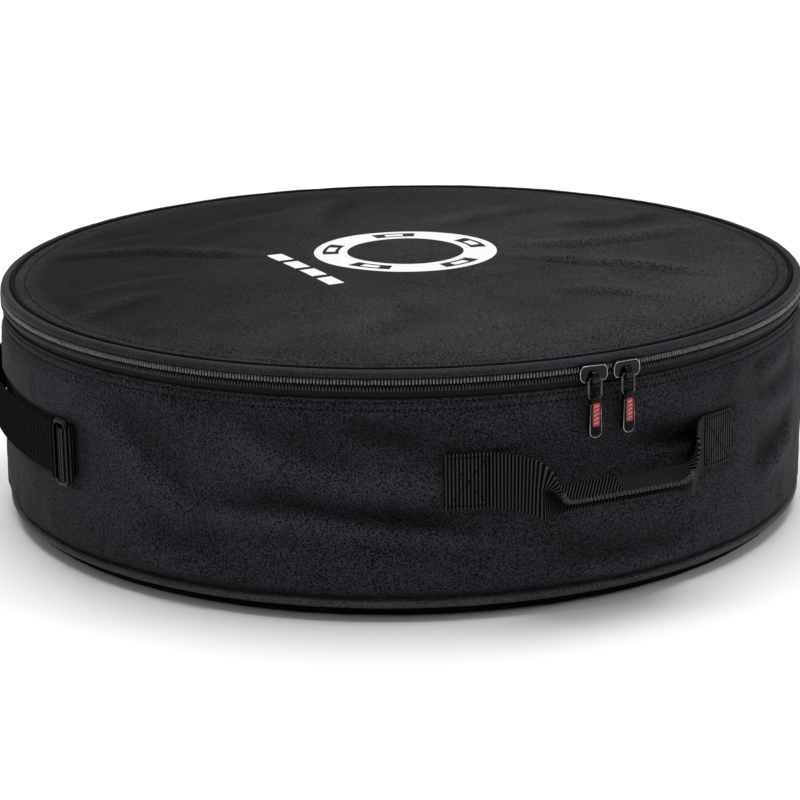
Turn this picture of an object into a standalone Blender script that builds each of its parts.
"""A round padded carry case for a flat hand percussion instrument, with a zipped lid.

Metres, +Z up. The origin is the middle of the underside, the front (carry handle, zip pulls) faces -Y and
the lid's fabric hinge is at the back, +Y. Places round the case are given by a heading in degrees:
0 is the front, 90 is +X, 180 is the back.
"""

import bmesh
import bpy
from math import cos, hypot, pi, radians, sin
from mathutils import Matrix, Vector

# ---- Driving dimensions ----
CASE_RADIUS = 0.295  # outside of the side wall's fabric
ZIP_HEIGHT = 0.162  # the line where the two zip chains meet
SEAM_HEIGHT = 0.0136  # lower edge of the side wall, on the piping
SHELL = 0.0012  # outer fabric
FOAM = 0.0078  # padding
LINING = 0.0008
GAP = 0.0003  # between pieces that are sewn or glued face to face
ROUND_STEPS = 60  # facets of a full turn
STEP_DEG = 360 / ROUND_STEPS

TAPE = 0.0006  # zip tape
TAPE_OUTER = 0.2935  # outer face of both tapes
COIL_HALF_GAP = 0.0008  # each chain stops this far from the zip line, which leaves room for a slider's post
COIL_WIDTH = 0.0027
COIL_DEPTH = 0.0030
ZIP_END_DEG = 162  # the zip stops here on each side, and the hinge takes the rest
SLIDER_REST_DEG = 2.4
HINGE_RADIUS = 0.2976  # the lid's hinge line touches the back of the case here

WEBBING_WIDTH = 0.038
WEBBING = 0.0016
STRAP_HEIGHT = 0.088  # middle of the webbing on the side wall
RING_DEG = 77.9  # middle of each strap ring
BAR_RADIUS = 0.0018
RING_HALF_SPAN = 0.0060  # ring bars from the ring's middle, along the wall
RING_RADIUS = 0.3016  # how far out the ring lies
RING_HALF_HEIGHT = WEBBING_WIDTH / 2 + 0.0032

FABRIC = ("black nylon", (0.022, 0.022, 0.026), 0.75, 0.0)
PADDING = ("grey foam", (0.18, 0.18, 0.19), 0.95, 0.0)
LINER = ("black lining", (0.03, 0.03, 0.033), 0.6, 0.0)
WEAVE = ("black webbing", (0.018, 0.018, 0.018), 0.65, 0.0)
TAPE_CLOTH = ("zip tape", (0.03, 0.036, 0.042), 0.5, 0.0)
COIL = ("zip coil", (0.03, 0.03, 0.03), 0.35, 0.0)
METAL = ("black metal", (0.02, 0.02, 0.022), 0.25, 1.0)
PLASTIC = ("black plastic", (0.015, 0.015, 0.016), 0.4, 0.0)
RED = ("red rubber", (0.55, 0.02, 0.03), 0.5, 0.0)


# ---- Helpers ----
def clear_scene():
    for obj in list(bpy.data.objects):
        bpy.data.objects.remove(obj)


def collection(name, hidden=False):
    made = bpy.data.collections.new(name)
    made.hide_render = hidden
    bpy.context.scene.collection.children.link(made)
    return made


def material(spec):
    name, colour, roughness, metallic = spec
    made = bpy.data.materials.get(name)
    if made is None:
        made = bpy.data.materials.new(name)
        made.use_nodes = True
        shader = made.node_tree.nodes["Principled BSDF"]
        shader.inputs["Base Color"].default_value = (*colour, 1)
        shader.inputs["Roughness"].default_value = roughness
        shader.inputs["Metallic"].default_value = metallic
    return made


def add(name, data, spec):
    """Puts a mesh or a curve in the case's collection as a named object."""
    obj = bpy.data.objects.new(name, data)
    obj.data.materials.append(material(spec))
    case.objects.link(obj)
    return obj


def pivot(name, place, turn_z=0.0):
    """An empty on a joint's axis, for the moving pieces to hang from."""
    obj = bpy.data.objects.new(name, None)
    obj.matrix_world = Matrix.Translation(place) @ Matrix.Rotation(turn_z, 4, "Z")
    case.objects.link(obj)
    return obj


def hang(obj, parent):
    """Parents obj without moving it."""
    bpy.context.view_layer.update()
    obj.parent = parent
    obj.matrix_parent_inverse = parent.matrix_world.inverted()
    return obj


def on_wall(heading, radius, height):
    """The point at a heading in degrees, a radius and a height."""
    a = radians(heading)
    return Vector((radius * sin(a), -radius * cos(a), height))


def line_mesh(name, points):
    mesh = bpy.data.meshes.new(name)
    edges = [(i, i + 1) for i in range(len(points) - 1)]
    mesh.from_pydata([(r, 0, z) for r, z in points], edges, [])
    return mesh


def turn(obj, span, steps):
    screw = obj.modifiers.new("turn", "SCREW")
    screw.angle = radians(span)
    screw.steps = screw.render_steps = steps
    screw.use_merge_vertices = True
    screw.merge_threshold = 0.00005
    return screw


def turned(name, profile, spec):
    """A full turn of a profile of (radius, height) that runs from its top to its underside."""
    obj = add(name, line_mesh(name, profile), spec)
    turn(obj, 360, ROUND_STEPS)
    return obj


def shell(name, line, thickness, spec, start=-180, end=180, steps=None):
    """A sheet that follows a line of (radius, height) round the case from one heading to another."""
    obj = add(name, line_mesh(name, line), spec)
    obj.rotation_euler.z = radians(start - 90)
    turn(obj, end - start, steps or round((end - start) / STEP_DEG))
    solid = obj.modifiers.new("thickness", "SOLIDIFY")
    solid.thickness = thickness
    solid.offset = 0
    solid.use_even_offset = True
    return obj


def ring_roll(name, radius, height, thickness, sides, spec):
    """A round roll that runs all round the case."""
    points = []
    for i in range(sides + 1):
        a = pi / 2 - 2 * pi * i / sides
        points.append((radius + thickness * cos(a), height + thickness * sin(a)))
    return turned(name, points, spec)


def ribbon_outline(path, thickness):
    """The closed outline of a strip that follows a path of (x, y)."""
    left, right = [], []
    for i, p in enumerate(path):
        a, b = path[max(i - 1, 0)], path[min(i + 1, len(path) - 1)]
        long = hypot(b[0] - a[0], b[1] - a[1])
        nx, ny = -(b[1] - a[1]) / long, (b[0] - a[0]) / long
        left.append((p[0] + nx * thickness / 2, p[1] + ny * thickness / 2))
        right.append((p[0] - nx * thickness / 2, p[1] - ny * thickness / 2))
    return left + right[::-1]


def flat_curve(name, outlines, half_depth):
    """Closed outlines of (x, y), filled and given a depth. A second outline is a hole."""
    curve = bpy.data.curves.new(name, "CURVE")
    curve.dimensions = "2D"
    curve.fill_mode = "BOTH"
    curve.extrude = half_depth
    for outline in outlines:
        spline = curve.splines.new("POLY")
        spline.points.add(len(outline) - 1)
        for point, (x, y) in zip(spline.points, outline):
            point.co = (x, y, 0, 1)
        spline.use_cyclic_u = True
    return curve


def webbing(name, path, thickness=WEBBING, width=WEBBING_WIDTH, height=STRAP_HEIGHT, spec=WEAVE):
    """Upright webbing that follows a path of (x, y) seen from above."""
    obj = add(name, flat_curve(name, [ribbon_outline(path, thickness)], width / 2), spec)
    obj.location.z = height
    return obj


def wire(name, points, radius, spec, cyclic=False, resolution=2):
    """A round bar bent along points."""
    curve = bpy.data.curves.new(name, "CURVE")
    curve.dimensions = "3D"
    curve.bevel_depth = radius
    curve.bevel_resolution = resolution
    curve.use_fill_caps = True
    spline = curve.splines.new("POLY")
    spline.points.add(len(points) - 1)
    for point, place in zip(spline.points, points):
        point.co = (*place, 1)
    spline.use_cyclic_u = cyclic
    return add(name, curve, spec)


def arc(centre, radius, start, end, steps):
    """Points of (x, y) on an arc, angles in degrees."""
    angles = [radians(start + (end - start) * i / steps) for i in range(steps + 1)]
    return [(centre[0] + radius * cos(a), centre[1] + radius * sin(a)) for a in angles]


def rounded_rectangle(half_x, half_y, corner, steps=3):
    points = []
    for sx, sy, start in ((1, 1, 0), (-1, 1, 90), (-1, -1, 180), (1, -1, 270)):
        points += arc((sx * (half_x - corner), sy * (half_y - corner)), corner, start, start + 90, steps)
    return points


def block(low, high):
    """A box mesh between two corners."""
    mesh = bpy.data.meshes.new("block")
    shape = bmesh.new()
    bmesh.ops.create_cube(shape, size=1)
    size = Vector(high) - Vector(low)
    middle = (Vector(high) + Vector(low)) / 2
    shape.transform(Matrix.Translation(middle) @ Matrix.Diagonal((*size, 1)))
    shape.to_mesh(mesh)
    shape.free()
    return mesh


def helper(name, data, place, turn_z=0.0):
    """A cutter or a piece to be joined, which isn't part of the case."""
    obj = bpy.data.objects.new(name, data)
    obj.matrix_world = Matrix.Translation(place) @ Matrix.Rotation(turn_z, 4, "Z")
    obj.display_type = "WIRE"
    obj.hide_render = True
    helpers.objects.link(obj)
    return obj


def combine(obj, other, operation):
    modifier = obj.modifiers.new(operation.lower(), "BOOLEAN")
    modifier.operation = operation
    modifier.solver = "EXACT"
    modifier.object = other


def bevel(obj, width, segments=2):
    modifier = obj.modifiers.new("rounded edges", "BEVEL")
    modifier.width = width
    modifier.segments = segments
    modifier.limit_method = "ANGLE"


# ---- The open case ----
def make_wall():
    """Outer fabric, padding and lining of the side wall, each inside the last."""
    fabric_middle = CASE_RADIUS - SHELL / 2
    fabric_top = ZIP_HEIGHT - 0.0055
    shell("wall_outer_shell", [(fabric_middle, fabric_top), (fabric_middle, SEAM_HEIGHT)], SHELL, FABRIC)
    foam_outer = TAPE_OUTER - TAPE - GAP
    foam_middle = foam_outer - FOAM / 2
    padding_top = ZIP_HEIGHT - 0.0075
    shell("wall_foam", [(foam_middle, padding_top), (foam_middle, 0.0136)], FOAM, PADDING)
    lining_middle = foam_outer - FOAM - GAP - LINING / 2
    shell("wall_lining", [(lining_middle, padding_top), (lining_middle, 0.0100)], LINING, LINER)


def make_base():
    """Outer panel, padding and lining of the bottom, and the piping in the seam round it."""
    rim = 0.2886
    panel = [(0, SHELL), (0.258, SHELL), (0.272, 0.0026), (0.282, 0.0058), (rim - 0.0008, 0.0098)]
    panel += [(rim, 0.0092), (0.2832, 0.0048), (0.2725, 0.0013), (0.258, 0), (0, 0)]
    turned("base_outer_panel", panel, FABRIC)
    foam_under = SHELL + GAP
    foam_top = 0.0088
    foam = [(0, foam_top), (0.2832, foam_top), (0.2812, 0.0066), (0.2715, 0.0031), (0.2575, foam_under)]
    turned("base_foam", foam + [(0, foam_under)], PADDING)
    lining_under = foam_top + GAP
    lining_top = lining_under + LINING
    edge = 0.2830
    turned("base_lining", [(0, lining_top), (edge, lining_top), (edge, lining_under), (0, lining_under)], LINER)
    ring_roll("base_piping", 0.2925, 0.0100, 0.0032, 8, FABRIC)
    ring_roll("base_seam_binding", 0.2815, 0.0118, 0.0015, 6, WEAVE)


def make_lower_zip():
    """The half of the zip that is sewn to the wall, and the tabs over its two ends."""
    tape_middle = TAPE_OUTER - TAPE / 2
    top = ZIP_HEIGHT - COIL_HALF_GAP
    ends = (-ZIP_END_DEG, ZIP_END_DEG)
    shell("lower_zip_tape", [(tape_middle, top), (tape_middle, ZIP_HEIGHT - 0.0160)], TAPE, TAPE_CLOTH, *ends)
    coil_middle = TAPE_OUTER + GAP + COIL_DEPTH / 2
    shell("lower_zip_coil", [(coil_middle, top), (coil_middle, top - COIL_WIDTH)], COIL_DEPTH, COIL, *ends)
    tab_line = [(0.2977, ZIP_HEIGHT - 0.0004), (0.2977, ZIP_HEIGHT - 0.0130)]
    shell("zip_end_tab_left", tab_line, 0.0008, WEAVE, -166, -160, 2)
    shell("zip_end_tab_right", tab_line, 0.0008, WEAVE, 160, 166, 2)


def make_hinge():
    """The fabric hinge at the back: its lower half on the wall and its upper half on the lid."""
    middle = CASE_RADIUS + GAP + 0.0005
    span = (168, 192)
    lower = [(middle, ZIP_HEIGHT - 0.0005), (middle, ZIP_HEIGHT - 0.0300)]
    shell("hinge_flap_lower", lower, 0.0010, FABRIC, *span)
    upper = [(middle, ZIP_HEIGHT + 0.0042), (middle, ZIP_HEIGHT + 0.0005)]
    hang(shell("hinge_flap_upper", upper, 0.0010, FABRIC, *span), lid_pivot)


# ---- The lid ----
def make_lid():
    """Outer panel, padding and lining of the lid, with the welt and the roll round its edge."""
    z = ZIP_HEIGHT
    panel = [(0, z + 0.0128), (0.15, z + 0.0120), (0.24, z + 0.0106), (0.272, z + 0.0094), (0.2846, z + 0.0086)]
    panel += [(0.2842, z + 0.0074), (0.272, z + 0.0082), (0.24, z + 0.0094), (0.15, z + 0.0108), (0, z + 0.0116)]
    outer = turned("lid_outer_panel", panel, FABRIC)
    foam = [(0, z + 0.0112), (0.15, z + 0.0104), (0.24, z + 0.0090), (0.272, z + 0.0078), (0.2842, z + 0.0064)]
    foam += [(0.2895, z + 0.0056), (0.2895, z + 0.0019), (0, z + 0.0019)]
    padding = turned("lid_foam", foam, PADDING)
    top, under = z + 0.0016, z + 0.0008
    lining = turned("lid_lining", [(0, top), (0.2870, top), (0.2870, under), (0, under)], LINER)
    welt = ring_roll("lid_edge_welt", 0.2873, z + 0.0082, 0.0016, 8, FABRIC)
    roll_line = [(0.2902, z + 0.0092), (0.2926, z + 0.0091), (0.2946, z + 0.0080), (0.2955, z + 0.0064)]
    roll = shell("lid_edge_roll", roll_line + [(0.2953, z + 0.0048)], 0.0008, TAPE_CLOTH)
    binding = ring_roll("lid_seam_binding", 0.2855, z - 0.0006, 0.0011, 6, WEAVE)
    for piece in (outer, padding, lining, welt, roll, binding):
        hang(piece, lid_pivot)


def make_upper_zip():
    """The half of the zip that is sewn to the lid."""
    tape_middle = TAPE_OUTER - TAPE / 2
    coil_middle = TAPE_OUTER + GAP + COIL_DEPTH / 2
    bottom = ZIP_HEIGHT + COIL_HALF_GAP
    ends = (-ZIP_END_DEG, ZIP_END_DEG)
    tape_line = [(tape_middle, ZIP_HEIGHT + 0.0068), (tape_middle, bottom)]
    hang(shell("upper_zip_tape", tape_line, TAPE, TAPE_CLOTH, *ends), lid_pivot)
    coil_line = [(coil_middle, bottom + COIL_WIDTH), (coil_middle, bottom)]
    hang(shell("upper_zip_coil", coil_line, COIL_DEPTH, COIL, *ends), lid_pivot)


# ---- Zip sliders and their pulls ----
SLIDER_LENGTH = 0.0204
EAR_BAR = 0.0008  # radius of the link's wire
LINK_OUT = 0.3014  # how far out the link hangs
LINK_LENGTH = 0.0135  # from the upper bar to the lower bar
LINK_HALF_WIDTH = 0.0047
EAR_DROP = 0.0030  # the ear's hole below the zip line
PULL_LENGTH = 0.0260
PULL_HALF_WIDTH = 0.0048
PULL_THICK = 0.0030


def make_slider(side):
    """A slider rides on both chains, and a wire link and a moulded pull hang from its ear."""
    name = "left" if side < 0 else "right"
    heading = side * SLIDER_REST_DEG
    half = SLIDER_LENGTH / 2
    track = pivot(f"slider_{name}_track", (0, 0, ZIP_HEIGHT))
    local = Matrix.Translation((0, 0, ZIP_HEIGHT)) @ Matrix.Rotation(radians(heading), 4, "Z")

    body = add(f"slider_{name}", block((-half, -0.2992, -0.0052), (half, -0.2976, 0.0052)), METAL)
    body.matrix_world = local
    back = helper(f"slider_{name}_back", block((-half, -0.2917, -0.0044), (half, -0.2905, 0.0044)), (0, 0, 0))
    post = helper(f"slider_{name}_post", block((-0.0025, -0.2985, -0.0004), (0.0025, -0.2910, 0.0004)), (0, 0, 0))
    ear_low, ear_high = (-0.0030, -LINK_OUT - 0.0020, -EAR_DROP - 0.0020), (0.0030, -0.2985, -EAR_DROP + 0.0020)
    ear = helper(f"slider_{name}_ear", block(ear_low, ear_high), (0, 0, 0))
    hole_low = (-0.02, -LINK_OUT - 0.0012, -EAR_DROP - 0.0012)
    hole_high = (0.02, -LINK_OUT + 0.0012, -EAR_DROP + 0.0012)
    hole = helper(f"slider_{name}_hole", block(hole_low, hole_high), (0, 0, 0))
    for other in (back, post, ear, hole):
        other.matrix_world = local
        combine(body, other, "DIFFERENCE" if other is hole else "UNION")
    hang(body, track)

    ear_height = ZIP_HEIGHT - EAR_DROP
    link_pivot = hang(pivot(f"link_{name}_pivot", on_wall(heading, LINK_OUT, ear_height), radians(heading)), track)
    low = -LINK_LENGTH
    loop = [(x, 0, z) for x, z in rounded_loop(LINK_HALF_WIDTH, low, 0, 0.0012)]
    link = wire(f"pull_link_{name}", loop, EAR_BAR, METAL, cyclic=True, resolution=1)
    bpy.context.view_layer.update()
    link.matrix_world = link_pivot.matrix_world
    hang(link, link_pivot)

    pull_place = on_wall(heading, LINK_OUT, ear_height - LINK_LENGTH)
    pull_pivot = hang(pivot(f"pull_{name}_pivot", pull_place, radians(heading)), link_pivot)
    outline = rounded_rectangle(PULL_HALF_WIDTH, (PULL_LENGTH + 0.0022) / 2, 0.0030)
    outline = [(x, z - PULL_LENGTH / 2 + 0.0011) for x, z in outline]
    window = [(x, z - 0.0115) for x, z in rounded_rectangle(0.0026, 0.0060, 0.0010, 2)]
    pull = as_mesh(add(f"pull_{name}", flat_curve(f"pull_{name}", [outline, window], PULL_THICK / 2), PLASTIC))
    stand = Matrix.Rotation(pi / 2, 4, "X")
    bpy.context.view_layer.update()
    pull.matrix_world = pull_pivot.matrix_world @ stand
    bar_hole = helper(f"pull_{name}_bar_hole", block((-0.0058, -0.0012, -0.0012), (0.0058, 0.0012, 0.0012)), (0, 0, 0))
    slots = [
        helper(f"pull_{name}_slot_{k}", block((-x - 0.0030, -0.01, -0.0035), (-x + 0.0030, 0.01, 0.0040)), (0, 0, 0))
        for k, x in (("a", -0.0054), ("b", 0.0054))
    ]
    for other in (bar_hole, *slots):
        other.matrix_world = pull_pivot.matrix_world
        combine(pull, other, "DIFFERENCE")
    hang(pull, pull_pivot)

    half_insert = PULL_THICK / 2 - 0.0001
    insert_outline = [(x, z - 0.0115) for x, z in rounded_rectangle(0.0023, 0.0057, 0.0008, 2)]
    insert = add(f"pull_insert_{name}", flat_curve(f"pull_insert_{name}", [insert_outline], half_insert), RED)
    insert.matrix_world = pull_pivot.matrix_world @ stand
    hang(insert, pull_pivot)


def rounded_loop(half_width, low, high, corner):
    """Points of (x, z) round a closed wire loop."""
    middle = (low + high) / 2
    return [(x, z + middle) for x, z in rounded_rectangle(half_width, (high - low) / 2, corner, 2)]


def as_mesh(obj):
    """Turns a curve object into a mesh object with its caps joined, so that it can be cut."""
    bpy.context.view_layer.update()
    graph = bpy.context.evaluated_depsgraph_get()
    mesh = bpy.data.meshes.new_from_object(obj.evaluated_get(graph))
    shape = bmesh.new()
    shape.from_mesh(mesh)
    bmesh.ops.remove_doubles(shape, verts=shape.verts, dist=1e-6)
    shape.to_mesh(mesh)
    shape.free()
    name, matrix = obj.name, obj.matrix_world.copy()
    bpy.data.objects.remove(obj)
    made = bpy.data.objects.new(name, mesh)
    made.matrix_world = matrix
    case.objects.link(made)
    return made


# ---- Carry handle ----
HANDLE_END_DEG = 21.0  # outer edge of each sewn end
HANDLE_EXIT_DEG = 14.5  # where the webbing leaves the wall
HANDLE_AXIS_Y = -0.2875
HANDLE_HEIGHT = 0.0965
GRIP_REACH = 0.0258  # from the handle's axis to the middle of its grip
GRIP_HALF = 0.0500
HANDLE_DROOP_DEG = 25
CORE_WIDTH = 0.0100


def make_handle():
    """Webbing sewn to the wall at both ends, folded lengthways round a core to make the grip."""
    for name, side in (("handle_end_left", -1), ("handle_end_right", 1)):
        headings = [side * (HANDLE_END_DEG + (HANDLE_EXIT_DEG - HANDLE_END_DEG) * i / 4) for i in range(5)]
        path = [tuple(on_wall(h, CASE_RADIUS + GAP + WEBBING, 0).xy) for h in headings]
        webbing(name, path, 2 * WEBBING, height=HANDLE_HEIGHT)
    axis = pivot("handle_axis", (0, HANDLE_AXIS_Y, HANDLE_HEIGHT))
    grip_y = HANDLE_AXIS_Y - GRIP_REACH
    half = [(0, grip_y), (GRIP_HALF, grip_y), (0.0590, grip_y + 0.0035), (0.0680, grip_y + 0.0130)]
    path = [(-x, y) for x, y in half[:0:-1]] + half
    hang(webbing("handle_core", path, CORE_WIDTH, 0.0024, HANDLE_HEIGHT), axis)
    outline = rounded_rectangle(0.0028, 0.0095, 0.0024)
    hole = rounded_rectangle(0.0015, CORE_WIDTH / 2 + 0.0004, 0.0003, 1)
    grip = add("handle_grip", flat_curve("handle_grip", [outline, hole], GRIP_HALF), WEAVE)
    grip.matrix_world = Matrix.Translation((0, grip_y, HANDLE_HEIGHT)) @ Matrix.Rotation(pi / 2, 4, "Y")
    hang(grip, axis)
    axis.rotation_euler.x = radians(HANDLE_DROOP_DEG)


# ---- Shoulder strap ----
STRAP_START_DEG = 85.2  # the swinging part runs round the back from here on one side to here on the other
STRAP_END_DEG = 83.2  # the end folded round each ring's bar reaches back to here
STRAP_NEAR = 0.2993  # radius of the middle of the strap by its rings
STRAP_STEPS_OUT = ((0.0070, 88, 106), (0.0030, 104, 130))  # how far it moves out, from and to which heading


def strap_radius(heading):
    """The strap lies close to the wall by its rings and stands off it round the back."""
    radius = STRAP_NEAR
    for out, start, end in STRAP_STEPS_OUT:
        t = min(max((abs(heading) - start) / (end - start), 0), 1)
        radius += out * t * t * (3 - 2 * t)
    return radius


def strap_path(start, steps):
    """Points round the back, from one side's start heading to the other's."""
    points = []
    for i in range(steps + 1):
        heading = start + (360 - 2 * start) * i / steps
        points.append(tuple(on_wall(heading, strap_radius(heading if heading <= 180 else 360 - heading), 0).xy))
    return points


def round_bar(side, bar_deg, out, start, sweep, steps):
    """Points round an upright bar of a strap ring. Angles in degrees, 0 faces out and 90 faces the front."""
    centre = on_wall(side * bar_deg, RING_RADIUS, 0)
    facing = side * bar_deg - 90
    angles = [facing - side * (start + sweep * i / steps) for i in range(steps + 1)]
    return [(centre.x + out * cos(radians(a)), centre.y + out * sin(radians(a))) for a in angles]


def make_ring(name, side):
    """A rectangular ring lies against the wall: one upright bar in the tab's loop, the other in the strap's."""
    loop = [(x, 0, z) for x, z in rounded_rectangle(RING_HALF_SPAN, RING_HALF_HEIGHT, 0.0030)]
    ring = wire(name, loop, BAR_RADIUS, METAL, cyclic=True)
    place = Matrix.Translation(on_wall(side * RING_DEG, RING_RADIUS, STRAP_HEIGHT))
    ring.matrix_world = place @ Matrix.Rotation(radians(side * RING_DEG), 4, "Z")


def make_anchor(name, side):
    """The tab sewn to the wall, the ring in its loop, and the strap's folded end round the ring's other bar."""
    make_ring(f"{name}_strap_ring", side)
    half_deg = RING_HALF_SPAN / RING_RADIUS * 180 / pi
    front, back = RING_DEG - half_deg, RING_DEG + half_deg
    out = BAR_RADIUS + GAP + 0.0001 + WEBBING / 2
    on_face = CASE_RADIUS + GAP + WEBBING / 2 + 0.0001
    tab = [(97, on_face), (93, on_face), (89, on_face), (85, on_face), (81, on_face), (79, on_face)]
    tab.append((front + 0.9, RING_RADIUS - out - 0.0008))
    path = [tuple(on_wall(side * h, r, 0).xy) for h, r in tab]
    path += round_bar(side, front, out, 180, -180, 8)
    path.append(tuple(on_wall(side * (front + 0.45), RING_RADIUS + out, 0).xy))
    webbing(f"{name}_anchor_tab", path)
    end = [(STRAP_END_DEG, STRAP_NEAR), (STRAP_END_DEG - 1, STRAP_NEAR + 0.0002), (back + 1.9, STRAP_NEAR + 0.0012)]
    path = [tuple(on_wall(side * h, r, 0).xy) for h, r in end]
    path += round_bar(side, back, out, -35, 175, 8)
    webbing(f"{name}_strap_end", path)


def make_strap():
    for name, side in (("left", -1), ("right", 1)):
        make_anchor(name, side)
    axis = pivot("strap_axis", (0, -CASE_RADIUS * cos(radians(RING_DEG)), STRAP_HEIGHT))
    hang(webbing("shoulder_strap", strap_path(STRAP_START_DEG, 48)), axis)


clear_scene()
case = collection("round_percussion_case")
helpers = collection("cutters", hidden=True)
lid_pivot = pivot("lid_hinge_axis", (0, HINGE_RADIUS, ZIP_HEIGHT))
make_wall()
make_base()
make_lower_zip()
make_hinge()
make_lid()
make_upper_zip()
for slider_side in (-1, 1):
    make_slider(slider_side)
make_handle()
make_strap()
